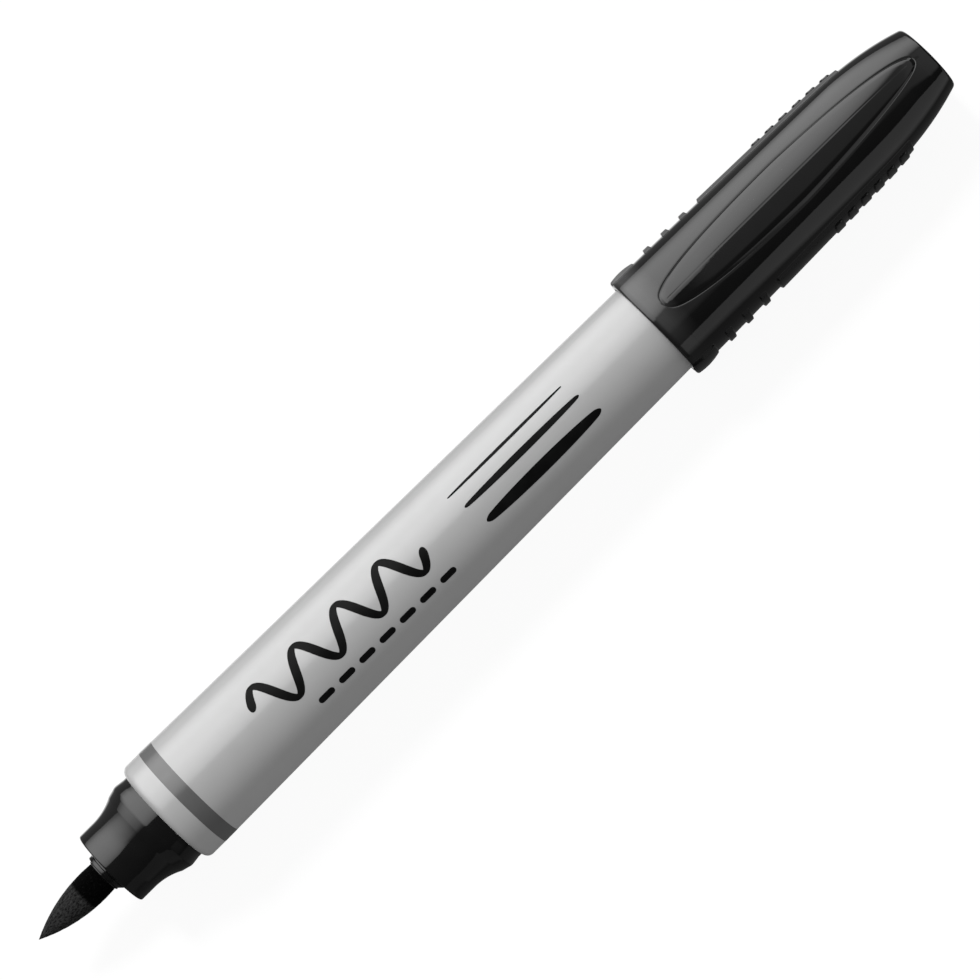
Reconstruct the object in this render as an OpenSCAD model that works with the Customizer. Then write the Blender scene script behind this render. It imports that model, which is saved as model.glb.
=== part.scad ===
// Brush pen with its cap posted on the tail.
// The pen lies along X: the nib points to -X, the cap's closed end to +X.
// Every module below is drawn standing up, with z = distance behind the
// barrel's front face, and place() lays it down on the ground plane.

/* [Barrel] */
// Radius behind the rounded front edge
barrel_front_r = 7.0; // [6.9:0.05:7.1]
// Radius where the mouth of the posted cap sits
barrel_back_r = 6.10; // [6.0:0.01:6.12]
// Length that shows between the front face and the posted cap
barrel_show = 78.5; // [70:0.5:90]
// Length of the straight stretch at the front
barrel_straight = 3.3; // [2:0.1:6]
// Slope of the taper where it starts; it eases off toward the tail
barrel_slope = 0.0131; // [0.012:0.0001:0.018]
// Rounding of the front edge
barrel_edge_r = 0.9; // [0.5:0.1:0.9]
// Radius of the narrow boss at the tail, which the inner cap grips
tail_boss_r = 5.0; // [4.9:0.01:5.02]

/* [Front section] */
// Length from the barrel to the nose face
section_len = 8.46; // [8:0.1:9]
// Radius of the nose cylinder that the inner cap closes on
nose_r = 5.04; // [4.9:0.01:5.1]
// Length of the nose cylinder
nose_len = 2.16; // [1.8:0.02:2.4]
// Radius of the snap bead at the root
bead_r = 6.235; // [6.2:0.005:6.25]
// Radius of the land between the bead and the barrel
land_r = 6.07; // [6.0:0.01:6.1]

/* [Nib] */
// Length of the brush from the nose face to its tip
nib_reach = 11.46; // [10:0.1:13]
// Largest radius of the brush
nib_r = 2.024; // [1.98:0.002:2.04]
// Distance from the tip to the place with the largest radius
nib_belly = 8.6; // [7:0.1:10]
// Radius of the tang inside the collar and the core
tang_r = 1.95; // [1.9:0.01:1.96]
// Outer radius of the collar
collar_r = 2.67; // [2.5:0.01:2.8]

/* [Cap] */
// Length of the cap
cap_len = 43.75; // [43:0.25:45]
// Body radius at the mouth
cap_mouth_r = 6.96; // [6.9:0.01:7.1]
// Height of the side grips above the body
grip_h = 0.34; // [0.2:0.02:0.4]
// Distance of a side grip's own axis from the pen's; more makes the grip narrower
grip_axis = 2.0; // [1.5:0.1:3]
// Height of the long raised lens above the body
lens_h = 0.55; // [0.3:0.05:0.7]
// Half of the width of the lens
lens_half_w = 3.2; // [2.5:0.1:3.5]
// Number of grooves across each grip
groove_count = 4; // [2:1:4]

/* [Hidden] */
$fn = 96;

// Stations along the axis
z_tip = -section_len - nib_reach;
z_mouth = barrel_show;
z_end = z_mouth + cap_len;
z_mid = (z_tip + z_end) / 2;

// Barrel
taper_len = barrel_show - barrel_straight;
taper_drop = barrel_front_r - barrel_back_r;
taper_ease = (barrel_slope * taper_len - taper_drop) / (taper_len * taper_len);
function taper_z(z) = max(0, z - barrel_straight);
function barrel_r(z) = barrel_front_r - barrel_slope * taper_z(z) + taper_ease * taper_z(z) * taper_z(z);
shoulder_z = z_mouth + 5.8;
boss_end_z = z_mouth + 14.8;
barrel_bore_r = 5.6;
plug_len = 12;
core_r = 3.95;
film_t = 0.15;
tail_bore_r = core_r + film_t + 0.05;
wall = 1.1;

// Section
flare_r = 7.37;
flare_end = asin(3.5 / flare_r);
bead_z = -1.5;
bead_round = 1.2;
bead_back = 14;
flare_start = -22;
nose_edge_r = 0.2;
collar_seat_z = -1.5;
core_z = 1.2;
core_end_z = boss_end_z - 2.3;
fit_gap = 0.05;
tang_end_z = 6.2;
socket_r = tang_r + fit_gap;

// Collar: its rim, the cone behind it, and the air notch in the raised ring
rim_z = -section_len - 1.15;
cone_z = -section_len - 0.39;
ring_z = rim_z + 0.21;
rim_t = 0.12;
notch_from = 219;
notch_to = 306;

// Cap body: a slightly bowed taper, then a curve that turns in to the end
cap_slope = 0.0136;
cap_bow = 0.000226;
cap_turn_z = z_end - 11.25;
cap_turn_r = 40.3;
cap_edge_r = 0.45;
mouth_edge = 0.3;
lip_h = 0.39;
lip_len = 3.5;
groove_pitch = 2.78;
groove_len = 1.68;
pad_end_z = z_end - 8.55;

// Inside of the cap
cap_bore_r = 6.2;
snap_r = 6.15;
snap_z = z_mouth + 2.2;
snap_len = 0.6;
lead_r = cap_bore_r + 0.15;
relief_r = cap_bore_r + 0.1;
cap_floor_z = z_end - 1.25;
seal_z = z_mouth + 6.3;
seal_r = 5.65;
seal_end_z = z_mouth + 25.1;
lip_bore_r = tail_boss_r + 0.04;

// Lens on the cap's two broad faces: a slim spindle with its axis parallel to
// the pen's, cut to a long leaf-shaped outline so that it stands on a low wall
lens_axis = 1.2;
lens_z0 = z_mouth + 2.35;
lens_z1 = z_end - 1.75;
lens_wide_z = z_mouth + 21.9;
lens_power = 0.4;

function turn(z) = max(0, z - cap_turn_z);
function depth(z) = z - z_mouth - 0.5;
function cap_body(z) = cap_mouth_r - cap_slope * depth(z) - cap_bow * depth(z) * depth(z)
                       - turn(z) * turn(z) / (2 * cap_turn_r);
function lens_u(z) = (2 * z - lens_z0 - lens_z1) / (lens_z1 - lens_z0);
function lens_crest(z) = cap_body(z) + lens_h * pow(max(0, 1 - lens_u(z) * lens_u(z)), lens_power);
lens_steps = 16;
lens_zs = [for (i = [0 : lens_steps]) lens_z0 + (lens_z1 - lens_z0) * i / lens_steps];
axis_h = max([for (z = lens_zs) lens_crest(z)]);

// Half width of the leaf outline: blunt toward the mouth, slimmer toward the end
function front_u(z) = max(0, lens_wide_z - z) / (lens_wide_z - lens_z0);
function back_u(z) = max(0, z - lens_wide_z) / (lens_z1 - lens_wide_z);
function leaf_half(z) = lens_half_w * pow(max(0, 1 - pow(front_u(z), 2.2)), 0.36)
                                    * pow(max(0, 1 - pow(back_u(z), 1.3)), 0.42);
leaf_steps = 16;
leaf_zs = [for (i = [0 : leaf_steps]) lens_z0 + (lens_z1 - lens_z0) * (1 - cos(180 * i / leaf_steps)) / 2];

// Points of an arc from angle a0 to angle a1, in [radius, z]
function arc(cr, cz, r, a0, a1, n = 8) =
    [for (i = [0 : n]) let (a = a0 + (a1 - a0) * i / n) [cr + r * cos(a), cz + r * sin(a)]];

module place()
    translate([-z_mid, 0, axis_h]) rotate([0, 90, 0]) children();

module turned(points)
    rotate_extrude() polygon(points);

// Light grey tube, closed at the tail, with a narrow boss inside the cap
module barrel() {
    shoulder_r = barrel_r(shoulder_z);
    shoulder_edge = 0.3;
    steps = 8;
    taper_end = shoulder_z - shoulder_edge - barrel_straight;
    color("silver") place() turned(concat(
        [[barrel_bore_r, 0]],
        arc(barrel_front_r - barrel_edge_r, barrel_edge_r, barrel_edge_r, -90, 0),
        [for (i = [0 : steps])
            let (z = barrel_straight + taper_end * i / steps)
            [barrel_r(z), z]],
        [[shoulder_r - shoulder_edge, shoulder_z],
         [tail_boss_r, shoulder_z]],
        arc(tail_boss_r - 0.6, boss_end_z - 0.6, 0.6, 0, 90),
        [[0, boss_end_z],
         [0, boss_end_z - wall],
         [tail_bore_r, boss_end_z - wall],
         [tail_bore_r, shoulder_z - 0.6],
         [shoulder_r - wall, shoulder_z - 1.6],
         [barrel_bore_r - 0.1, plug_len + 2],
         [barrel_bore_r, plug_len + 1.9]]));
}

// Black section: nose, flare, snap bead, and the plug inside the barrel
module front_section() {
    flare_z = -section_len + nose_len;
    color("#202022") place() turned(concat(
        [[collar_r, collar_seat_z],
         [collar_r, -section_len]],
        arc(nose_r - nose_edge_r, -section_len + nose_edge_r, nose_edge_r, -90, 0, 4),
        arc(nose_r + flare_r, flare_z, flare_r, 180, 180 - flare_end),
        arc(bead_r - bead_round, bead_z, bead_round, flare_start, bead_back),
        [[land_r, bead_z + 0.9],
         [land_r, 0],
         [barrel_bore_r, 0],
         [barrel_bore_r, plug_len],
         [barrel_bore_r - 0.3, plug_len + 0.4],
         [tail_bore_r + 0.15, plug_len + 0.4],
         [tail_bore_r + 0.15, core_z],
         [socket_r, core_z],
         [socket_r, collar_seat_z]]));
}

// Insert round the nib: bevelled rim, and a raised ring with one air notch
module nib_collar() {
    ring_r = collar_r - 0.1;
    reach = 2 * collar_r;
    color("#2a2a2c") place() {
        turned([
            [socket_r, rim_z],
            [socket_r + rim_t, rim_z],
            [collar_r, cone_z],
            [collar_r, collar_seat_z],
            [socket_r, collar_seat_z]]);
        difference() {
            turned([
                [socket_r + fit_gap, ring_z],
                [ring_r, ring_z],
                [ring_r, cone_z + fit_gap],
                [socket_r + fit_gap, cone_z + fit_gap]]);
            translate([0, 0, rim_z]) linear_extrude(2) polygon([
                [0, 0],
                [reach * cos(notch_from), reach * sin(notch_from)],
                [reach * cos(notch_to), reach * sin(notch_to)]]);
        }
    }
}

// Fibre brush: one arc from the tip to the collar, then the tang
module brush_nib() {
    belly_z = z_tip + nib_belly;
    rho = (nib_r * nib_r + nib_belly * nib_belly) / (2 * nib_r);
    steps = 28;
    root_z = -section_len - 1.15;
    color("#333335") place() turned(concat(
        [for (i = [0 : steps])
            let (z = z_tip + (root_z - z_tip) * i / steps)
            [i == 0 ? 0 : sqrt(rho * rho - (z - belly_z) * (z - belly_z)) + nib_r - rho, z]],
        [[tang_r, root_z + 0.1],
         [tang_r, tang_end_z - 0.8],
         [tang_r - 0.7, tang_end_z],
         [0, tang_end_z]]));
}

// Ink core, with the socket that the nib's tang fills
module ink_reservoir() {
    color("dimgray") place() turned([
        [socket_r, core_z],
        [core_r, core_z],
        [core_r, core_end_z],
        [0, core_end_z],
        [0, tang_end_z + 0.1],
        [socket_r - 0.7, tang_end_z + 0.1],
        [socket_r, tang_end_z - 0.7]]);
}

// Film sleeve that holds the core's fibres together
module reservoir_sleeve() {
    color("gainsboro") place() turned([
        [core_r, core_z],
        [core_r + film_t, core_z],
        [core_r + film_t, core_end_z],
        [core_r, core_end_z]]);
}

module cap_body_solid() {
    bow_steps = 4;
    steps = 8;
    end_r = cap_body(z_end - cap_edge_r);
    turned(concat(
        [[0, z_mouth], [cap_body(z_mouth) - mouth_edge, z_mouth]],
        [for (i = [0 : bow_steps - 1])
            let (z = z_mouth + mouth_edge + (cap_turn_z - z_mouth - mouth_edge) * i / bow_steps)
            [cap_body(z), z]],
        [for (i = [0 : steps])
            let (z = cap_turn_z + (z_end - cap_edge_r - cap_turn_z) * i / steps)
            [cap_body(z), z]],
        arc(end_r - cap_edge_r, z_end - cap_edge_r, cap_edge_r, 10, 90, 6),
        [[0, z_end]]));
}

// One side grip: lip block, ribs and the long pad, turned about its own axis
// so that it swells gently out of the body
module side_grip(side) {
    pad_z = z_mouth + lip_len + groove_count * groove_pitch - (groove_pitch - groove_len);
    lip_top = cap_body(z_mouth + 1.6) + lip_h - grip_axis;
    function low(z) = cap_body(z) - grip_axis;
    function high(z) = low(z) + grip_h;
    translate([0, side * grip_axis, 0]) {
        turned([
            [0, z_mouth + 0.02],
            [lip_top - 0.5, z_mouth + 0.02],
            [lip_top - 0.12, z_mouth + 0.4],
            [lip_top, z_mouth + 1.4],
            [lip_top - 0.05, z_mouth + 2.2],
            [low(z_mouth + lip_len), z_mouth + lip_len],
            [0, z_mouth + lip_len]]);
        for (i = [1 : groove_count - 1]) {
            z0 = z_mouth + lip_len + groove_len + (i - 1) * groove_pitch;
            z1 = z0 + groove_pitch - groove_len;
            turned([
                [0, z0],
                [high(z0), z0],
                [high(z1), z1 - 0.25],
                [low(z1), z1 + 0.05],
                [0, z1 + 0.05]]);
        }
        pad_steps = 4;
        turned(concat(
            [[0, pad_z], [high(pad_z), pad_z + 0.3]],
            [for (i = [1 : pad_steps])
                let (z = pad_z + (pad_end_z - pad_z) * i / pad_steps)
                [high(z), z]],
            [[low(pad_end_z + 0.15), pad_end_z + 0.15],
             [0, pad_end_z + 0.15]]));
    }
}

module lenses()
    intersection() {
        for (side = [-1, 1])
            translate([side * lens_axis, 0, 0]) turned(concat(
                [[0, lens_z0]],
                [for (z = lens_zs) [lens_crest(z) - lens_axis, z]],
                [[0, lens_z1]]));
        rotate([90, 0, 90]) linear_extrude(4 * cap_mouth_r, center = true) polygon(concat(
            [for (i = [0 : leaf_steps]) [leaf_half(leaf_zs[i]), leaf_zs[i]]],
            [for (i = [1 : leaf_steps - 1]) [-leaf_half(leaf_zs[leaf_steps - i]), leaf_zs[leaf_steps - i]]]));
    }

// Hollow of the cap: mouth with its snap ring, seat of the inner cap, end
module cap_hollow() {
    turned([
        [0, z_mouth - 1],
        [lead_r, z_mouth - 1],
        [lead_r, z_mouth],
        [cap_bore_r, z_mouth + mouth_edge],
        [cap_bore_r, snap_z - 1.3],
        [relief_r, snap_z - 1],
        [relief_r, snap_z - 0.4],
        [snap_r, snap_z],
        [snap_r, snap_z + snap_len],
        [cap_bore_r, snap_z + snap_len + 0.3],
        [cap_bore_r, seal_z - 0.1],
        [seal_r, seal_z - 0.1],
        [seal_r, seal_end_z],
        [seal_r - 0.6, seal_end_z],
        [4.95, cap_turn_z + 1],
        [4.35, cap_floor_z - 3.5],
        [3.6, cap_floor_z - 1],
        [3.2, cap_floor_z],
        [0, cap_floor_z]]);
}

// Glossy black cap with a lens on two faces and a ribbed grip on two sides
module cap_shell() {
    color("#1c1c1e") place() difference() {
        union() {
            cap_body_solid();
            for (side = [-1, 1]) side_grip(side);
            lenses();
        }
        cap_hollow();
    }
}

// Inner cap: its lip closes on the nose, or grips the tail boss when posted
module cap_inner_seal() {
    color("#3a3a3c") place() turned([
        [lip_bore_r, seal_z],
        [seal_r, seal_z],
        [seal_r, seal_end_z],
        [0, seal_end_z],
        [0, seal_end_z - 0.8],
        [lip_bore_r - 0.14, seal_end_z - 0.8],
        [lip_bore_r + 0.16, seal_end_z - 1.1],
        [lip_bore_r + 0.16, seal_z + 2.4],
        [lip_bore_r, seal_z + 2.1]]);
}

barrel();
front_section();
nib_collar();
brush_nib();
ink_reservoir();
reservoir_sleeve();
cap_shell();
cap_inner_seal();
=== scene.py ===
import math
import bmesh
import bpy
from mathutils import Matrix, Vector, noise


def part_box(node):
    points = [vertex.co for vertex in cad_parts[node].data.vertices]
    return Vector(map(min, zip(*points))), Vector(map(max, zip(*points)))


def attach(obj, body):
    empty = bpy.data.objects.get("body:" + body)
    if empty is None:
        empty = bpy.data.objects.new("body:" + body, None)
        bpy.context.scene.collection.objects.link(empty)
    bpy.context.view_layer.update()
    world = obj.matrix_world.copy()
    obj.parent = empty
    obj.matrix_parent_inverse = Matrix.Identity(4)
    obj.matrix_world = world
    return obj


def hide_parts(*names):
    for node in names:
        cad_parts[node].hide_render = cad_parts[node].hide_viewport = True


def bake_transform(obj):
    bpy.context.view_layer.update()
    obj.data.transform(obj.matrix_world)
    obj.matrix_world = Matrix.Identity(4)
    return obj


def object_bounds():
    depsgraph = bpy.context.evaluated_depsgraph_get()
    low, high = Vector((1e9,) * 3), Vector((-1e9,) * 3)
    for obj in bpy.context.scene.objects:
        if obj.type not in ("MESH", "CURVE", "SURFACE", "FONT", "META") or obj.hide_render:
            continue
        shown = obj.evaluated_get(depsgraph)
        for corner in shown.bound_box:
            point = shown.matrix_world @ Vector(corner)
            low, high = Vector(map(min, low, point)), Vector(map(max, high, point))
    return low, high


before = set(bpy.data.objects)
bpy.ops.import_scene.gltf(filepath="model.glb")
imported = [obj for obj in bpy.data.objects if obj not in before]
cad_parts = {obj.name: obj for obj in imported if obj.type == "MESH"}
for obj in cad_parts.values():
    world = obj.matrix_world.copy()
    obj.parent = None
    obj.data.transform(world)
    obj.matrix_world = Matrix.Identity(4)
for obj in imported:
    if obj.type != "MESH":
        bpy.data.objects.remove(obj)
cad_low, cad_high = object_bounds()

# Lengths are in millimetres unless a comment says otherwise. "a" runs along the
# pen from the CAD barrel's front face toward the cap, "psi" round it from +Z
# toward -Y.
MM = 0.001
FRONT_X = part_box("barrel")[0].x
AXIS_Z = (cad_low.z + cad_high.z) / 2


def point(a, r, psi):
    return Vector((FRONT_X + a * MM, -r * MM * math.sin(psi), AXIS_Z + r * MM * math.cos(psi)))


# ---- camera -----------------------------------------------------------------
# ROLL turns the view round the pen, TILT turns the pen in the picture. The rest
# is in metres, and the lens in its own millimetres.
ROLL = math.radians(11.0)
TILT = math.radians(44.80)
CAMERA_DISTANCE = 0.6118
CAMERA_LENS = 198.0
TARGET_ALONG, TARGET_ACROSS = 0.00124, -0.000142

along = Vector((1, 0, 0))
toward = Vector((0, -math.sin(ROLL), math.cos(ROLL)))
across = Vector((0, -math.cos(ROLL), -math.sin(ROLL)))


def make_camera():
    right = along * math.cos(TILT) + across * math.sin(TILT)
    up = along * math.sin(TILT) - across * math.cos(TILT)
    target = Vector((TARGET_ALONG, 0, AXIS_Z)) + across * TARGET_ACROSS
    data = bpy.data.cameras.new("camera")
    data.lens = CAMERA_LENS
    data.clip_start, data.clip_end = 0.01, 100
    cam = bpy.data.objects.new("camera", data)
    bpy.context.scene.collection.objects.link(cam)
    matrix = Matrix((right, up, toward)).transposed().to_4x4()
    matrix.translation = target + toward * CAMERA_DISTANCE
    cam.matrix_world = matrix
    bpy.context.scene.camera = cam


make_camera()


# ---- materials --------------------------------------------------------------
class Nodes:
    """Short way to wire a node tree."""

    def __init__(self, name):
        self.material = bpy.data.materials.new(name)
        self.material.use_nodes = True
        self.tree = self.material.node_tree
        self.bsdf = self.tree.nodes["Principled BSDF"]
        self.coords = self.add("ShaderNodeTexCoord").outputs["Object"]

    def add(self, kind, **values):
        node = self.tree.nodes.new(kind)
        for key, value in values.items():
            setattr(node, key, value)
        return node

    def link(self, a, b):
        self.tree.links.new(a, b)

    def noise(self, scale, detail=3.0, rough=0.5, stretch=(1, 1, 1)):
        mapping = self.add("ShaderNodeMapping")
        mapping.inputs["Scale"].default_value = stretch
        self.link(self.coords, mapping.inputs["Vector"])
        node = self.add("ShaderNodeTexNoise")
        node.inputs["Scale"].default_value = scale
        node.inputs["Detail"].default_value = detail
        node.inputs["Roughness"].default_value = rough
        self.link(mapping.outputs[0], node.inputs["Vector"])
        return node.outputs["Fac"]

    def ramp(self, value, stops):
        node = self.add("ShaderNodeValToRGB")
        ramp = node.color_ramp
        while len(ramp.elements) < len(stops):
            ramp.elements.new(0.5)
        for element, (place, color) in zip(ramp.elements, stops):
            element.position = place
            element.color = (color, color, color, 1)
        self.link(value, node.inputs[0])
        return node.outputs[0]

    def span(self, value, low, high):
        node = self.add("ShaderNodeMapRange")
        node.inputs["To Min"].default_value = low
        node.inputs["To Max"].default_value = high
        self.link(value, node.inputs["Value"])
        return node.outputs[0]

    def bump(self, height, distance, strength=1.0):
        node = self.add("ShaderNodeBump")
        node.inputs["Strength"].default_value = strength
        node.inputs["Distance"].default_value = distance * MM
        self.link(height, node.inputs["Height"])
        self.link(node.outputs[0], self.bsdf.inputs["Normal"])


# Noise scales in waves per metre, and the height of the grain
CLOUD, GRAIN, GRAIN_DEPTH = 420, 2600, 0.0012
ROUGH_LOW, ROUGH_HIGH = 0.8, 1.2


def plastic(name, base, rough, grain=GRAIN, bump=GRAIN_DEPTH, vary=0.08, level=0.5, sheen=0.0):
    """Moulded plastic: faint cloudy colour and a fine grain in roughness and height."""
    m = Nodes(name)
    cloud = m.noise(CLOUD, 2)
    fine = m.noise(grain, 2)
    m.link(m.ramp(cloud, [(0.3, base * (1 - vary)), (0.7, base * (1 + vary))]),
           m.bsdf.inputs["Base Color"])
    m.link(m.span(fine, rough * ROUGH_LOW, rough * ROUGH_HIGH), m.bsdf.inputs["Roughness"])
    m.bsdf.inputs["Specular IOR Level"].default_value = level
    m.bsdf.inputs["Sheen Weight"].default_value = sheen
    m.bsdf.inputs["Sheen Roughness"].default_value = 0.3
    m.bump(fine, bump)
    return m.material


# Across the pen the painted light grows from the near side, away from the key light, to full
PAINTED_LIGHT_NEAR_Y, PAINTED_LIGHT_FULL_Y, PAINTED_LIGHT_NEAR_SHARE = -6, 1, 0.1


def plastic_with_painted_light(name, base, painted_light, rough, stops):
    """Gloss plastic with painted light added to its colour; stops are (a, share of the painted
    light) along the pen.
    """
    m = Nodes(name)
    fine = m.noise(GRAIN, 2)
    split = m.add("ShaderNodeSeparateXYZ")
    m.link(m.coords, split.inputs[0])
    low, high = stops[0][0], stops[-1][0]
    place = m.add("ShaderNodeMapRange")
    place.inputs["From Min"].default_value = FRONT_X + low * MM
    place.inputs["From Max"].default_value = FRONT_X + high * MM
    m.link(split.outputs[0], place.inputs["Value"])
    shares = m.ramp(place.outputs[0], [((a - low) / (high - low), painted_light * share)
                                       for a, share in stops])
    # the near side, away from the key light, gets less of the painted light
    across_pen = m.add("ShaderNodeMapRange")
    across_pen.inputs["From Min"].default_value = PAINTED_LIGHT_NEAR_Y * MM
    across_pen.inputs["From Max"].default_value = PAINTED_LIGHT_FULL_Y * MM
    across_pen.inputs["To Min"].default_value = PAINTED_LIGHT_NEAR_SHARE
    m.link(split.outputs[1], across_pen.inputs["Value"])
    cloud = m.span(m.noise(CLOUD, 2), 0.85, 1.15)
    # painted light: a brighter patch added onto the base colour
    lit_base = m.add("ShaderNodeMath", operation="MULTIPLY_ADD")
    m.link(shares, lit_base.inputs[0])
    m.link(across_pen.outputs[0], lit_base.inputs[1])
    lit_base.inputs[2].default_value = base
    tint = m.add("ShaderNodeMath", operation="MULTIPLY")
    m.link(lit_base.outputs[0], tint.inputs[0])
    m.link(cloud, tint.inputs[1])
    m.link(tint.outputs[0], m.bsdf.inputs["Base Color"])
    m.link(m.span(fine, rough * ROUGH_LOW, rough * ROUGH_HIGH), m.bsdf.inputs["Roughness"])
    m.bump(fine, GRAIN_DEPTH)
    return m.material


# The nib's felt turns darker toward its root between these two places
DARK_ROOT_START, DARK_ROOT_END = -13.15, -12.55


def fibre(name):
    """Speckled felt, darker toward its root."""
    m = Nodes(name)
    speck = m.noise(5200, 4, 0.65, (0.55, 1, 1))
    strand = m.noise(2600, 3, 0.6, (0.22, 1, 1))
    split = m.add("ShaderNodeSeparateXYZ")
    m.link(m.coords, split.inputs[0])
    rootward = m.add("ShaderNodeMapRange", interpolation_type="SMOOTHSTEP")
    rootward.inputs["From Min"].default_value = FRONT_X + DARK_ROOT_START * MM
    rootward.inputs["From Max"].default_value = FRONT_X + DARK_ROOT_END * MM
    m.link(split.outputs[0], rootward.inputs["Value"])
    tip_tone = m.ramp(speck, [(0.36, 0.003), (0.44, 0.022), (0.52, 0.036), (0.68, 0.06)])
    root_tone = m.ramp(speck, [(0.42, 0.0006), (0.6, 0.002), (0.72, 0.012)])
    mix = m.add("ShaderNodeMix", data_type="RGBA")
    m.link(rootward.outputs[0], mix.inputs["Factor"])
    m.link(tip_tone, mix.inputs["A"])
    m.link(root_tone, mix.inputs["B"])
    m.link(mix.outputs["Result"], m.bsdf.inputs["Base Color"])
    m.bsdf.inputs["Roughness"].default_value = 0.8
    m.bsdf.inputs["Diffuse Roughness"].default_value = 1.0
    m.bsdf.inputs["Specular IOR Level"].default_value = 0.02
    m.bsdf.inputs["Sheen Weight"].default_value = 0.06
    m.bsdf.inputs["Sheen Roughness"].default_value = 0.3
    both = m.add("ShaderNodeMath", operation="ADD")
    m.link(speck, both.inputs[0])
    m.link(strand, both.inputs[1])
    m.bump(both.outputs[0], 0.03)
    return m.material


barrel_grey = plastic("barrel_grey", 0.5, 0.18, 1800, 0.0008, 0.01, 0.55, 0.45)
section_black = plastic("section_black", 0.01, 0.07)
collar_black = plastic("collar_black", 0.008, 0.12)
# The cap's mouth, and the painted light in the cap's colour from there on: (distance, share)
MOUTH = 78.5
MOUTH_PAINTED_LIGHT = [(0.2, 0.2), (0.8, 1.0), (1.7, 0.9), (2.6, 0.5), (3.8, 0.0)]
# the cap's colour carries painted light, a brighter patch just behind the mouth
cap_black = plastic_with_painted_light("cap_black", 0.009, 0.05, 0.06, [(MOUTH + d, h) for d, h in MOUTH_PAINTED_LIGHT])
seal_grey = plastic("seal_grey", 0.04, 0.4)
band_grey = plastic("band_grey", 0.14, 0.2, 1800, 0.0008, 0.03)
ink_black = plastic("ink_black", 0.006, 0.4, 2600, 0.001, 0.3, 0.06)
core_grey = plastic("core_grey", 0.2, 0.8, 3000, 0.02, 0.3)
film_white = plastic("film_white", 0.6, 0.3)
nib_felt = fibre("nib_felt")


# ---- mesh helpers -----------------------------------------------------------
def strip(bm, first, second):
    """Faces between two closed rings; either may be a single point."""
    count = max(len(first), len(second))
    for k in range(count):
        corners = []
        for ring, index in ((first, k), (first, k + 1), (second, k + 1), (second, k)):
            vert = ring[index % len(ring)]
            if vert not in corners:
                corners.append(vert)
        if len(corners) > 2:
            bm.faces.new(corners)


def lathe(bm, profile, segments=256, closed=False):
    rings = []
    for a, r in profile:
        if r < 1e-6:
            rings.append([bm.verts.new(point(a, 0, 0))])
        else:
            rings.append([bm.verts.new(point(a, r, math.tau * k / segments))
                          for k in range(segments)])
    for first, second in zip(rings, rings[1:] + (rings[:1] if closed else [])):
        strip(bm, first, second)


def arc(ca, cr, r, start, end, steps=8):
    """(a, r) points of an arc; angles in degrees, 0 is outward, 90 toward the cap."""
    out = []
    for i in range(steps + 1):
        angle = math.radians(start + (end - start) * i / steps)
        out.append((ca + r * math.sin(angle), cr + r * math.cos(angle)))
    return out


def piece(name, bm, body, material, nodes=(), sharp=35):
    bmesh.ops.remove_doubles(bm, verts=bm.verts, dist=2e-8)
    bmesh.ops.recalc_face_normals(bm, faces=bm.faces)
    mesh = bpy.data.meshes.new(name)
    bm.to_mesh(mesh)
    bm.free()
    for polygon in mesh.polygons:
        polygon.use_smooth = True
    mesh.set_sharp_from_angle(angle=math.radians(sharp))
    obj = bpy.data.objects.new(name, mesh)
    bpy.context.scene.collection.objects.link(obj)
    mesh.materials.append(material)
    if body:
        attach(obj, body)
    if nodes:
        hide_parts(*nodes)
    return obj


# ---- barrel -----------------------------------------------------------------
BARREL_R = 7.0
STRAIGHT_END = 3.3
BARREL_SLOPE, BARREL_EASE = 0.0131, 1.506e-5
BOSS_R = 5.0
SHOULDER, BOSS_END = MOUTH + 5.8, MOUTH + 14.8
SOCKET_R, SOCKET_LEN = 5.6, 13.9
CORE_BORE_R = 4.15


def barrel_r(a):
    d = max(0.0, a - STRAIGHT_END)
    return BARREL_R - BARREL_SLOPE * d + BARREL_EASE * d * d


def make_barrel():
    face, edge = 0.2, 0.9
    shoulder_edge, boss_edge = 0.3, 0.6
    wall_end = SHOULDER - 0.6
    r_end = barrel_r(SHOULDER)
    taper = SHOULDER - 0.4 - STRAIGHT_END
    stations = [face + edge + 0.3, 2.0] + [STRAIGHT_END + taper * i / 24 for i in range(25)]
    profile = [(face, SOCKET_R + 0.02), (face, SOCKET_R + 0.3)]
    profile += arc(face + edge, BARREL_R - edge, edge, -90, 0, 12)
    profile += [(a, barrel_r(a)) for a in stations]
    profile += arc(SHOULDER - shoulder_edge, r_end - shoulder_edge, shoulder_edge, 0, 90, 6)
    profile += [(SHOULDER, BOSS_R + 0.2), (SHOULDER + 0.1, BOSS_R + 0.03), (SHOULDER + 0.3, BOSS_R)]
    profile += [(BOSS_END - 1.0, BOSS_R)]
    profile += arc(BOSS_END - boss_edge, BOSS_R - boss_edge, boss_edge, 0, 90, 8)
    profile += [(BOSS_END, 3.0), (BOSS_END, 0)]
    bm = bmesh.new()
    lathe(bm, profile)
    # the wall's inner side, from the section's socket to the closed tail
    lathe(bm, [(face, SOCKET_R + 0.02), (SOCKET_LEN, SOCKET_R), (SOCKET_LEN + 0.1, SOCKET_R - 0.1),
               (wall_end - 1.0, r_end - 1.1), (wall_end, CORE_BORE_R),
               (BOSS_END - 1.1, CORE_BORE_R), (BOSS_END - 1.1, 0)])
    return piece("barrel_tube", bm, "pen_body", barrel_grey, ["barrel"])


BAND_START, BAND_END = 3.08, 4.98
PRINT_LIFT = 0.012


def make_band():
    bm = bmesh.new()
    a0, a1, middle = BAND_START, BAND_END, (BAND_START + BAND_END) / 2
    lathe(bm, [(a0, barrel_r(a0) - 0.03), (a0, barrel_r(a0) + PRINT_LIFT),
               (middle, barrel_r(middle) + PRINT_LIFT),
               (a1, barrel_r(a1) + PRINT_LIFT), (a1, barrel_r(a1) - 0.03)], closed=True)
    return piece("barrel_band", bm, "pen_body", band_grey)


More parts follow.
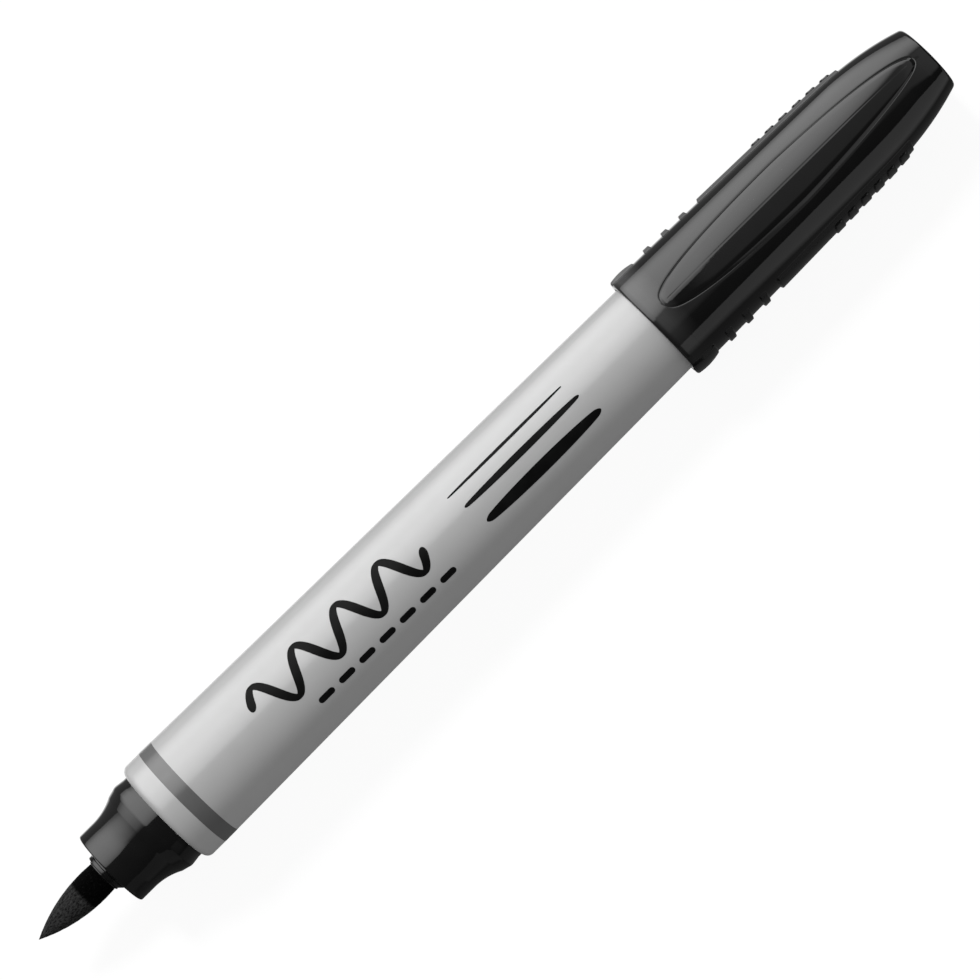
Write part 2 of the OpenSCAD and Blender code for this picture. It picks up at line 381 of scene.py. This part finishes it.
def ribbon(bm, path, half_widths, lift=PRINT_LIFT, sink=0.02, columns=4):
    """A printed stroke: path points are (a, arc length round the barrel)."""
    rows = []
    last = len(path) - 1
    for i, (a, s) in enumerate(path):
        before, after = path[max(i - 1, 0)], path[min(i + 1, last)]
        da, ds = after[0] - before[0], after[1] - before[1]
        size = math.hypot(da, ds)
        na, ns = -ds / size, da / size
        row = []
        for k in range(columns + 1):
            w = half_widths[i] * (2 * k / columns - 1)
            pa, ps = a + na * w, s + ns * w
            r = barrel_r(pa)
            row.append((bm.verts.new(point(pa, r + lift, ps / r)),
                        bm.verts.new(point(pa, r - sink, ps / r))))
        rows.append(row)
    for first, second in zip(rows, rows[1:]):
        for k in range(columns):
            bm.faces.new((first[k][0], first[k + 1][0], second[k + 1][0], second[k][0]))
            bm.faces.new((first[k][1], first[k + 1][1], second[k + 1][1], second[k][1]))
        for k in (0, columns):
            bm.faces.new((first[k][0], second[k][0], second[k][1], first[k][1]))
    for row in (rows[0], rows[-1]):
        for k in range(columns):
            bm.faces.new((row[k][0], row[k + 1][0], row[k + 1][1], row[k][1]))


def stroke(bm, path_of, start, end, width_of, steps=60, cap=0.5):
    """A stroke with round ends; path_of gives the place, width_of the half width."""
    path, widths = [], []
    for i in range(steps + 1):
        t = (1 - math.cos(math.pi * i / steps)) / 2
        path.append(path_of(start + (end - start) * t))
        near = min(t, 1 - t) * abs(end - start)
        round_off = 1.0 if near >= cap else math.sqrt(max(0.0, 1 - (1 - near / cap) ** 2))
        widths.append(max(0.01, width_of(t) * round_off))
    ribbon(bm, path, widths)


def make_print():
    bm = bmesh.new()
    # a plain wave, thicker on its slopes
    wave_start, waves, wave_len, wave_height, wave_middle = 16, 4, 6.6, 2.3, 0.2
    stroke(bm, lambda a: (a, wave_middle - wave_height * math.sin(math.tau * (a - wave_start)
                                                                  / wave_len)),
           wave_start, wave_start + waves * wave_len,
           lambda t: 0.34 + 0.2 * abs(math.cos(waves * math.tau * t)), 320, 0.4)
    # a row of short dashes under it
    dash_start, dash_pitch, dash_len, dash_half, dash_line = 22.0, 3.2, 2.3, 0.42, 4.75
    for i in range(7):
        start = dash_start + dash_pitch * i
        stroke(bm, lambda a: (a, dash_line), start, start + dash_len, lambda t: dash_half, 24,
               dash_half)
    # three straight strokes of rising weight: place, half width, lead
    bar_start, bar_len = 48.3, 18
    for s, half, lead in ((-1.7, 0.2, 0.0), (0.5, 0.42, 0.7), (3.4, 0.8, 1.4)):
        stroke(bm, lambda a, s=s: (a, s), bar_start + lead, bar_start + bar_len + lead,
               lambda t, half=half: half * (0.35 + 0.65 * math.sin(math.pi * t) ** 0.5), 80, half)
    return piece("barrel_print", bm, "pen_body", ink_black)


make_barrel()
make_band()
make_print()


# ---- front section ----------------------------------------------------------
SECTION_LEN = 8.46
NOSE_R = 5.04
COLLAR_R = 2.67


def make_section():
    flare_r, flare_len, flare_start = 7.37, 3.5, -SECTION_LEN + 2.16
    sweep = math.degrees(math.asin(flare_len / flare_r))
    edge, bore = 0.22, COLLAR_R + 0.02
    bead_a, bead_centre, bead_r = -1.5, 5.035, 1.2
    neck_r, plug_end = 6.09, 3
    profile = [(plug_end, bore), (-SECTION_LEN + 0.05, bore),
               (-SECTION_LEN, bore + 0.05), (-SECTION_LEN, 3.6)]
    profile += arc(-SECTION_LEN + edge, NOSE_R - edge, edge, -90, 0, 8)
    profile += [(-SECTION_LEN + 0.5, NOSE_R), (flare_start - 0.4, NOSE_R)]
    profile += arc(flare_start, NOSE_R + flare_r, flare_r, 180, 180 - sweep, 24)
    profile += arc(bead_a, bead_centre, bead_r, -22, 7, 10)
    profile += [(-0.5, neck_r + 0.02), (-0.35, neck_r), (0.2, neck_r), (0.2, SOCKET_R),
                (plug_end, SOCKET_R - 0.02)]
    bm = bmesh.new()
    lathe(bm, profile, closed=True)
    return piece("grip_section", bm, "pen_body", section_black,
                 ["front_section"])


def make_collar():
    rim, cone = -SECTION_LEN - 1.15, -SECTION_LEN - 0.42
    rim_r, bore, groove_r, back = 0.13, 2.02, 2.4, -1.6
    bm = bmesh.new()
    lathe(bm, [(back, bore), (rim + rim_r, bore)]
          + arc(rim + rim_r, bore + 0.02, rim_r, -80, 45, 8)
          + [(cone - 0.04, COLLAR_R - 0.08), (cone, COLLAR_R - 0.06), (cone + 0.03, groove_r),
             (cone + 0.5, groove_r), (cone + 0.55, COLLAR_R), (back, COLLAR_R)], 192, closed=True)
    # a raised ring over the cone, open at one air notch
    r, foot, a0, a1 = COLLAR_R - 0.1, 1.95, rim + 0.27, cone - 0.01
    first, last, count = math.radians(126), math.radians(39 + 360), 120
    outline = [(a0, foot), (a0, r - 0.07), (a0 + 0.02, r - 0.02), (a0 + 0.07, r), (a1, r),
               (a1, foot)]
    rows = [[bm.verts.new(point(a, q, first + (last - first) * i / count)) for a, q in outline]
            for i in range(count + 1)]
    for one, two in zip(rows, rows[1:]):
        strip(bm, one, two)
    for row in (rows[0], rows[-1]):
        bm.faces.new(row)
    return piece("nib_holder", bm, "pen_body", collar_black, ["nib_collar"])


make_section()
make_collar()


# ---- brush nib --------------------------------------------------------------
def make_nib():
    # the outline is one arc of radius rho, widest at the belly
    tip, root = -SECTION_LEN - 11.46, -SECTION_LEN - 1.1
    belly, nib_r = 8.6, 2.024
    rho = (nib_r ** 2 + belly ** 2) / (2 * nib_r)
    tang_r, tang_len = 1.93, 4
    lump, full_depth = 5, 0.016
    length = root - tip
    steps, segments = 150, 160
    bm = bmesh.new()
    rings = [[bm.verts.new(point(tip + 0.03, 0, 0))]]
    for i in range(1, steps + 1):
        d = length * (i / steps) ** 1.25
        r = math.sqrt(rho ** 2 - (belly - d) ** 2) + nib_r - rho
        ring = []
        for k in range(segments):
            psi = math.tau * k / segments
            place = Vector((d * 1.6, r * math.cos(psi) * lump, r * math.sin(psi) * lump))
            rough = noise.fractal(place, 1.0, 2.0, 4)
            depth = min(1.0, r / 0.4) * full_depth
            ring.append(bm.verts.new(point(tip + d, r - depth * (0.6 + rough), psi)))
        rings.append(ring)
    for first, second in zip(rings, rings[1:]):
        strip(bm, first, second)
    # the tang inside the holder
    inner = [rings[-1]]
    end = root + tang_len + 0.3
    for a, r in ((root + 0.2, tang_r), (root + tang_len, tang_r), (end, 1.6)):
        inner.append([bm.verts.new(point(a, r, math.tau * k / segments)) for k in range(segments)])
    inner.append([bm.verts.new(point(end, 0, 0))])
    for first, second in zip(inner, inner[1:]):
        strip(bm, first, second)
    obj = piece("brush_tip_felt", bm, None, nib_felt, ["brush_nib"], 60)
    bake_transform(obj)
    return obj


make_nib()


# ---- cap --------------------------------------------------------------------
CAP_END = MOUTH + 43.75
# the radius 0.5 behind the mouth, and how it falls from there
CAP_MOUTH_R = 6.96
CAP_SLOPE, CAP_BOW = 0.0136, 0.000226
# from TURN_A on the cap closes in faster
TURN_A = CAP_END - 12.75
TURN_LEN, TURN_DROP, TURN_POWER = 12.3, 1.447, 2.416
EDGE, END_LEAN = 0.45, math.radians(18)
LIP_R = 0.3
# side grips: a crowned block at the mouth, three ribs, then a long pad
GRIP_H = 0.34
LIP_H, LIP_CROWN, LIP_CREST, LIP_HALF = 0.385, 0.16, 1.6, 1.5
LIP_LEN, GROOVE, PITCH, RIBS = 3.5, 1.68, 2.78, 3
RISE, PAD_RISE, LIP_FALL, RIB_FALL, PAD_FALL = 0.14, 0.25, 0.16, 0.22, 0.18
PAD_START, PAD_END = MOUTH + LIP_LEN + GROOVE + RIBS * PITCH, CAP_END - 8.55
PAD_THIN, PAD_THIN_LEN = 0.07, 4
# the walls along the grips' edges, by the angle round the pen
RAMP_START = math.radians(69.5)
RAMP = math.radians(2.4)
# the lens
LENS_A0, LENS_A1 = MOUTH + 2.35, CAP_END - 1.75
LENS_WIDE = MOUTH + 21.9
LENS_HALF = 3.2
LENS_H, LENS_POWER = 0.47, 0.4
LENS_AXIS = 0.8
RIDGE, RIDGE_SOFT = math.tan(math.radians(2)), 0.08
SEAM_DEPTH, SEAM_HALF = 0.018, 0.06
BORDER = 1.15


def cap_r(a):
    d = a - MOUTH - 0.5
    turned = max(0.0, a - TURN_A) / TURN_LEN
    return CAP_MOUTH_R - CAP_SLOPE * d - CAP_BOW * d * d - TURN_DROP * turned ** TURN_POWER


# Powers that shape a leaf outline before and after its widest place
LEAF_START, LEAF_END = (2.2, 0.36), (1.3, 0.42)


def leaf(a, start, wide, end, half):
    """Half width of a leaf outline, blunt at its start and slimmer at its end."""
    if a <= start or a >= end:
        return 0.0
    away = (wide - a) / (wide - start) if a < wide else (a - wide) / (end - wide)
    inner, outer = LEAF_START if a < wide else LEAF_END
    return half * (1 - away ** inner) ** outer


def lens_half(a):
    """Half width of the lens, measured straight across."""
    return leaf(a, LENS_A0, LENS_WIDE, LENS_A1, LENS_HALF)


def lens_inner(a):
    """Where the rounded border ends: the place along the pen and the half width."""
    start, end = LENS_A0 + 0.7 * BORDER, LENS_A1 - BORDER
    inner = start + (end - start) * (a - LENS_A0) / (LENS_A1 - LENS_A0)
    return inner, leaf(inner, start, LENS_WIDE, end, LENS_HALF - BORDER)


# Steps across the border: fraction of its width, share of the lens height, depth
# of the fine groove round it
LENS_EDGE = [(0, 0, 0), (0.09, 0, 0.055), (0.2, 0.235, 0.035), (0.32, 0.47, 0.015), (0.42, 0.68, 0),
             (0.5, 0.79, 0), (0.6, 0.85, 0), (0.75, 0.92, 0), (0.88, 0.965, 0), (1, 1, 0)]


def lens_r(a, s):
    """Radius of the lens surface at arc offset s from its middle line."""
    v = (2 * a - LENS_A0 - LENS_A1) / (LENS_A1 - LENS_A0)
    crest = cap_r(a) + LENS_H * max(0.0, 1 - v * v) ** LENS_POWER
    psi = s / crest
    own = crest - LENS_AXIS
    side = LENS_AXIS * math.sin(psi)
    soft = math.hypot(s, RIDGE_SOFT) - RIDGE_SOFT
    seam = SEAM_DEPTH * math.exp(-(s / SEAM_HALF) ** 2)
    return LENS_AXIS * math.cos(psi) + math.sqrt(own * own - side * side) - RIDGE * soft - seam


def smooth(x):
    x = min(1.0, max(0.0, x))
    return x * x * (3 - 2 * x)


def grip_bump(a):
    """Height of the side grips over the body."""
    d = a - MOUTH
    if d < LIP_LEN:
        lip = LIP_H - LIP_CROWN * ((d - LIP_CREST) / LIP_HALF) ** 2
        return lip * (1 - smooth((d - LIP_LEN + LIP_FALL) / LIP_FALL))
    steps = (d - LIP_LEN - GROOVE) / PITCH
    if 0 <= steps < RIBS:
        into = (steps % 1) * PITCH
        rib = PITCH - GROOVE
        return GRIP_H * smooth(into / RISE) * (1 - smooth((into - rib + RIB_FALL) / RIB_FALL))
    if steps >= RIBS:
        # the pad thins a little toward its end
        late = max(0.0, (a - PAD_END + PAD_THIN_LEN) / PAD_THIN_LEN)
        rise = smooth((a - PAD_START) / PAD_RISE)
        return (GRIP_H - PAD_THIN * late) * rise * (1 - smooth((a - PAD_END) / PAD_FALL))
    return 0.0


def cap_stations():
    """Places of the rings along the cap, close together at the grips' walls."""
    out = set()
    along = 90
    for i in range(along + 1):
        out.add(LENS_A0 + (LENS_A1 - LENS_A0) * (1 - math.cos(math.pi * i / along)) / 2)
    walls = [(MOUTH + LIP_LEN - LIP_FALL, LIP_FALL), (PAD_END, PAD_FALL)]
    for i in range(RIBS + 1):
        start = MOUTH + LIP_LEN + GROOVE + i * PITCH
        walls.append((start, RISE if i < RIBS else PAD_RISE))
        if i < RIBS:
            walls.append((start + PITCH - GROOVE - RIB_FALL, RIB_FALL))
    for start, width in walls:
        for k in range(-1, 7):
            out.add(start + width * k / 5)
    for a in (0.3, 0.6, 1.0, 1.3, 1.6, 1.9, 2.2, 2.45):
        out.add(MOUTH + a)
    for a in (1.1, 0.95, 0.8, 0.62, EDGE):
        out.add(CAP_END - a)
    kept, least_gap = [], 0.004
    for a in sorted(out):
        if not kept or a - kept[-1] > least_gap:
            kept.append(a)
        elif a in (LENS_A0, LENS_A1):
            kept[-1] = a
    return kept


def grip_share(psi):
    """How far up the grip's ramp the angle psi is, from 0 to 1."""
    from_side = abs(math.pi / 2 - psi % math.pi)
    return smooth((math.pi / 2 - from_side - RAMP_START) / RAMP)


def cap_surface(a, psi):
    return cap_r(a) + grip_bump(a) * grip_share(psi)


def cap_columns(a):
    """Angles of the columns from one lens border to the other."""
    body, wall, crown = 22, 12, 6
    r = cap_r(min(a, CAP_END - EDGE))
    start = math.asin(lens_half(a) / r)
    top = RAMP_START + RAMP
    half = ([start + (RAMP_START - start) * i / body for i in range(body)]
            + [RAMP_START + RAMP * i / wall for i in range(wall)]
            + [top + (math.pi / 2 - top) * i / crown for i in range(crown + 1)])
    return half + [math.pi - psi for psi in reversed(half[:-1])]


# Inside of the shell, (a, r) from its floor out to the mouth: the closed end, the
# seat of the inner cap, the snap groove and the mouth
SHELL_INSIDE = [(CAP_END - 1.25, 0.0), (CAP_END - 1.25, 3.2), (CAP_END - 2.25, 3.6),
                (CAP_END - 4.75, 4.35), (TURN_A + 2.5, 4.95), (MOUTH + 25.2, 5.05),
                (MOUTH + 25.2, 5.66), (MOUTH + 6.3, 5.66), (MOUTH + 6.2, 6.2), (MOUTH + 3.1, 6.2),
                (MOUTH + 2.8, 6.15), (MOUTH + 2.2, 6.15), (MOUTH + 1.8, 6.3), (MOUTH + 1.2, 6.3),
                (MOUTH + 0.9, 6.2), (MOUTH + 0.3, 6.2), (MOUTH + 0.1, 6.25), (MOUTH, 6.35)]


def make_cap():
    bm = bmesh.new()
    stations = cap_stations()

    def side(columns, radius, a, turn):
        return [bm.verts.new(point(a, radius(psi), psi + turn)) for psi in columns]

    def join(first, second):
        for k in range(len(first) - 1):
            bm.faces.new((first[k], first[k + 1], second[k + 1], second[k]))

    # the shell, in two halves that meet at the lenses
    for turn in (0, math.pi):
        rows = []
        mouth_columns = cap_columns(MOUTH)
        end_columns = cap_columns(CAP_END - EDGE)
        for a, r in SHELL_INSIDE:
            rows.append(side(mouth_columns, lambda psi: r, a, turn))
        # rounded lip, from the front face out
        for i in reversed(range(9)):
            angle = math.pi / 2 * i / 8
            a = MOUTH + LIP_R * (1 - math.sin(angle))
            drop = LIP_R * (1 - math.cos(math.asin(1 - (a - MOUTH) / LIP_R)))
            rows.append(side(mouth_columns, lambda psi: cap_surface(MOUTH + LIP_R, psi) - drop,
                             a, turn))
        for a in stations:
            if a > MOUTH + LIP_R + 0.01:
                rows.append(side(cap_columns(a), lambda psi: cap_surface(a, psi), a, turn))
        # rounded edge of the end face
        end_r = cap_r(CAP_END - EDGE)
        low = math.sin(END_LEAN)
        for i in range(1, 9):
            angle = END_LEAN + (math.pi / 2 - END_LEAN) * i / 8
            a = CAP_END - EDGE + EDGE * (math.sin(angle) - low) / (1 - low)
            r = end_r - EDGE * (math.cos(END_LEAN) - math.cos(angle))
            rows.append(side(end_columns, lambda psi: r, a, turn))
        for r in (2.4, 0.0):
            rows.append(side(end_columns, lambda psi: r, CAP_END, turn))
        for first, second in zip(rows, rows[1:]):
            join(first, second)

    # the two lenses: a sloping border, then the smooth top
    places = [a for a in stations if LENS_A0 <= a <= LENS_A1]
    columns = 40
    for turn in (0, math.pi):
        borders = {}
        for sign in (1, -1):
            lines = []
            for a in places:
                inner_a, inner_s = lens_inner(a)
                outer_s = cap_r(a) * math.asin(lens_half(a) / cap_r(a))
                line = []
                for f, share, drop in LENS_EDGE:
                    pa = a + (inner_a - a) * f
                    ps = outer_s + (inner_s - outer_s) * f
                    r = cap_r(pa) + (lens_r(pa, ps) - cap_r(pa)) * share - drop
                    line.append(bm.verts.new(point(pa, r, sign * ps / cap_r(pa) + turn)))
                lines.append(line)
            for first, second in zip(lines, lines[1:]):
                join(first, second)
            borders[sign] = lines
        rows = []
        for i, a in enumerate(places):
            inner_a, inner_s = lens_inner(a)
            row = [borders[1][i][-1]]
            for k in range(1, columns):
                s = inner_s * (1 - 2 * k / columns)
                place = point(inner_a, lens_r(inner_a, s), s / cap_r(inner_a) + turn)
                row.append(bm.verts.new(place))
            row.append(borders[-1][i][-1])
            rows.append(row)
        for first, second in zip(rows, rows[1:]):
            join(first, second)
    return piece("cap_body", bm, "cap", cap_black, ["cap_shell"], 45)


def make_cap_bars():
    """Six plain raised bars on each grip pad."""
    bm = bmesh.new()
    height, root, half_a, half_s, power = 0.18, -0.2, 0.74, 1.9, 0.55
    first, pitch, corners = MOUTH + 23.1, 2.12, 48
    for turn in (math.pi / 2, -math.pi / 2):
        for i in range(6):
            middle = first + pitch * i
            rows = []
            for depth, lift in ((0.0, root), (0.0, 0.05), (0.05, 0.11), (0.14, height),
                                (0.4, height)):
                ring = []
                for k in range(corners):
                    angle = math.tau * k / corners
                    ca, cs = math.cos(angle), math.sin(angle)
                    pa = middle + (half_a - depth) * math.copysign(abs(ca) ** power, ca)
                    ps = (half_s - depth) * math.copysign(abs(cs) ** power, cs)
                    psi = turn + ps / cap_r(pa)
                    ring.append(bm.verts.new(point(pa, cap_surface(pa, psi) + lift, psi)))
                rows.append(ring)
            for one, two in zip(rows, rows[1:]):
                strip(bm, one, two)
            for ring, lift in ((rows[0], root), (rows[-1], height)):
                top = cap_surface(middle, turn) + lift
                strip(bm, ring, [bm.verts.new(point(middle, top, turn))])
    return piece("cap_grip_bars", bm, "cap", cap_black)


make_cap()
make_cap_bars()

for name, material in (("cap_inner_seal", seal_grey), ("ink_reservoir", core_grey),
                       ("reservoir_sleeve", film_white)):
    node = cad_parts[name]
    node.data.materials.clear()
    node.data.materials.append(material)


# ---- floor, light and reflections -------------------------------------------
def stage_mesh(name, verts, faces, material):
    mesh = bpy.data.meshes.new(name)
    mesh.from_pydata(verts, [], faces)
    mesh.materials.append(material)
    obj = bpy.data.objects.new(name, mesh)
    bpy.context.scene.collection.objects.link(obj)
    return obj


FLOOR_GLOW, FLOOR_HALF = 0.93, 20
WORLD_LIGHT = 0.34


def make_floor():
    """A plain pale floor, so light that only a trace of shadow shows."""
    m = Nodes("floor_white")
    m.link(m.ramp(m.noise(9, 2), [(0.3, 0.1), (0.7, 0.105)]), m.bsdf.inputs["Base Color"])
    m.bsdf.inputs["Roughness"].default_value = 1.0
    m.bsdf.inputs["Specular IOR Level"].default_value = 0.0
    m.bsdf.inputs["Emission Color"].default_value = (1, 1, 1, 1)
    m.bsdf.inputs["Emission Strength"].default_value = FLOOR_GLOW
    size = FLOOR_HALF
    obj = stage_mesh("floor", [(-size, -size, 0), (size, -size, 0), (size, size, 0),
                               (-size, size, 0)], [(0, 1, 2, 3)], m.material)
    obj.visible_glossy = False
    obj.visible_diffuse = False


def make_sun(name, degrees, energy, size):
    """A distant soft light, placed by its angle round the pen from the camera,
    positive toward the near side; size is how wide it looks, in degrees."""
    data = bpy.data.lights.new(name, "SUN")
    data.energy = energy
    data.angle = math.radians(size)
    obj = bpy.data.objects.new(name, data)
    bpy.context.scene.collection.objects.link(obj)
    angle = math.radians(degrees)
    to_light = toward * math.cos(angle) + across * math.sin(angle)
    obj.rotation_euler = to_light.to_track_quat("Z", "Y").to_euler()
    obj.visible_glossy = False


def make_world():
    world = bpy.data.worlds.new("studio")
    bpy.context.scene.world = world
    world.use_nodes = True
    background = world.node_tree.nodes["Background"]
    background.inputs[0].default_value = (1, 1, 1, 1)
    background.inputs[1].default_value = WORLD_LIGHT
    world.cycles_visibility.glossy = False


def glow_material(name):
    m = Nodes(name)
    m.tree.nodes.remove(m.bsdf)
    glow = m.add("ShaderNodeAttribute", attribute_name="glow")
    emission = m.add("ShaderNodeEmission")
    m.link(glow.outputs["Fac"], emission.inputs["Strength"])
    output = m.tree.nodes["Material Output"]
    m.link(emission.outputs[0], output.inputs["Surface"])
    return m.material


# The cards stand this far from the pen and reach this far along it
CARD_R = 500
CARD_REACH = 900


def curve(table, x):
    """Straight lines between the table's (x, value) pairs."""
    if x <= table[0][0]:
        return table[0][1]
    for (x0, v0), (x1, v1) in zip(table, table[1:]):
        if x <= x1:
            return v0 + (v1 - v0) * (x - x0) / (x1 - x0)
    return table[-1][1]


def make_card(name, near, far, glow_of, material, ends=(-CARD_REACH, CARD_REACH)):
    """A curved soft box seen only in reflections. near and far give its two
    edges in degrees from the camera, for each place x along the pen, and
    glow_of(x, degrees, near edge, far edge) its brightness."""
    across_steps, along_steps = 40, 120
    verts, glows, faces = [], [], []
    for i in range(along_steps + 1):
        x = ends[0] + (ends[1] - ends[0]) * i / along_steps
        low, high = curve(near, x), curve(far, x)
        for k in range(across_steps + 1):
            degrees = low + (high - low) * k / across_steps
            angle = math.radians(degrees)
            place = (toward * math.cos(angle) + across * math.sin(angle)) * CARD_R
            verts.append(Vector((x, place.y, place.z + AXIS_Z / MM)) * MM)
            glows.append(glow_of(x, degrees, low, high))
    width = across_steps + 1
    for i in range(along_steps):
        for k in range(across_steps):
            v = i * width + k
            faces.append((v, v + 1, v + width + 1, v + width))
    obj = stage_mesh(name, verts, faces, material)
    attribute = obj.data.attributes.new("glow", "FLOAT", "POINT")
    attribute.data.foreach_set("value", glows)
    obj.visible_camera = False
    obj.visible_diffuse = False
    obj.visible_shadow = False
    obj.visible_transmission = False


def make_cards():
    material = glow_material("soft_box")
    # edges of the main soft box, on the far side
    near = [(-900, -20), (-330, -14), (-120, -10), (66, -10), (72, -17), (80, -19),
            (100, -15), (130, -15), (200, -21), (370, -38), (440, -42), (900, -55)]
    far = [(-900, -104), (-330, -103), (-115, -106), (50, -119), (75, -120), (130, -127),
           (440, -101), (900, -98)]
    # brightness by the distance from the near edge: crisp along the barrel, soft
    # beyond its ends; then by the distance from the far edge and along the pen
    crisp = [(0, 1.4), (6, 2.0), (10, 2.35), (16, 2.7), (22, 2.95), (35, 3.25), (50, 3.4)]
    soft = [(0, 0.3), (4, 0.8), (8, 1.5), (12, 2.05), (20, 2.45), (28, 2.85), (40, 3.3), (50, 3.4)]
    from_far = [(0, 0.28), (6, 0.4), (12, 0.62), (20, 0.82), (30, 0.95), (42, 1.0)]
    ends = [(-900, 0.25), (-750, 0.37), (-326, 0.76), (-200, 0.95), (-120, 1.0)]

    def box_glow(x, d, low, high):
        share = curve([(-450, 1.0), (-280, 0.0), (80, 0.0), (100, 1.0)], x)
        edge = curve(crisp, low - d) * (1 - share) + curve(soft, low - d) * share
        return edge * curve(from_far, d - high) * curve(ends, x)

    make_card("soft_box", near, far, box_glow, material)
    # a dim card in front of the cap, up to the main soft box
    front_near = [(x, d + 0.5) for x, d in near]
    front_far = [(0, 30), (330, 30), (450, 52), (900, 60)]
    front = [(45, 0.0), (60, 0.22), (312, 0.25), (400, 0.3), (470, 0.45), (900, 0.5)]
    make_card("front_card", front_near, front_far,
              lambda x, d, low, high: curve(front, x) * min(1.0, 0.1 + (high - d) / 10), material,
              (45, CARD_REACH))
    # behind the pen: a bright rim light, dim up to the main soft box
    rim = [(-179, 1.0), (-160, 0.9), (-155, 0.5), (-150, 0.15), (-100, 0.13)]
    make_card("rim_card", far, [(0, -179)],
              lambda x, d, low, high: curve(rim, d), material)
    # the near side: a band of light, with a very dim card below it
    side = [(-105, 0.12), (-99, 0.02), (-92, 0.02), (45, 0.1), (60, 0.55), (400, 0.55),
            (450, 0.45), (900, 0.45)]
    side_near = [(-115, 65), (-80, 59), (300, 59), (480, 74), (900, 80)]
    side_far = [(-115, 116), (-99, 90), (60, 92), (75, 95), (115, 111), (312, 114), (900, 114)]
    make_card("side_card", side_near, side_far,
              lambda x, d, low, high: curve(side, x) * min(1.0, 0.15 + (high - d) / 16), material)
    low_glow = [(-110, 0.05), (-80, 0.09)]
    make_card("low_card", side_far, [(0, 178)],
              lambda x, d, low, high: curve(low_glow, x), material)


make_floor()
make_sun("key", -50, 2.2, 14)
make_sun("back", -88, 0.5, 20)
make_sun("fill", 88, 0.25, 40)
make_world()
make_cards()
bpy.context.scene.view_settings.view_transform = "Standard"
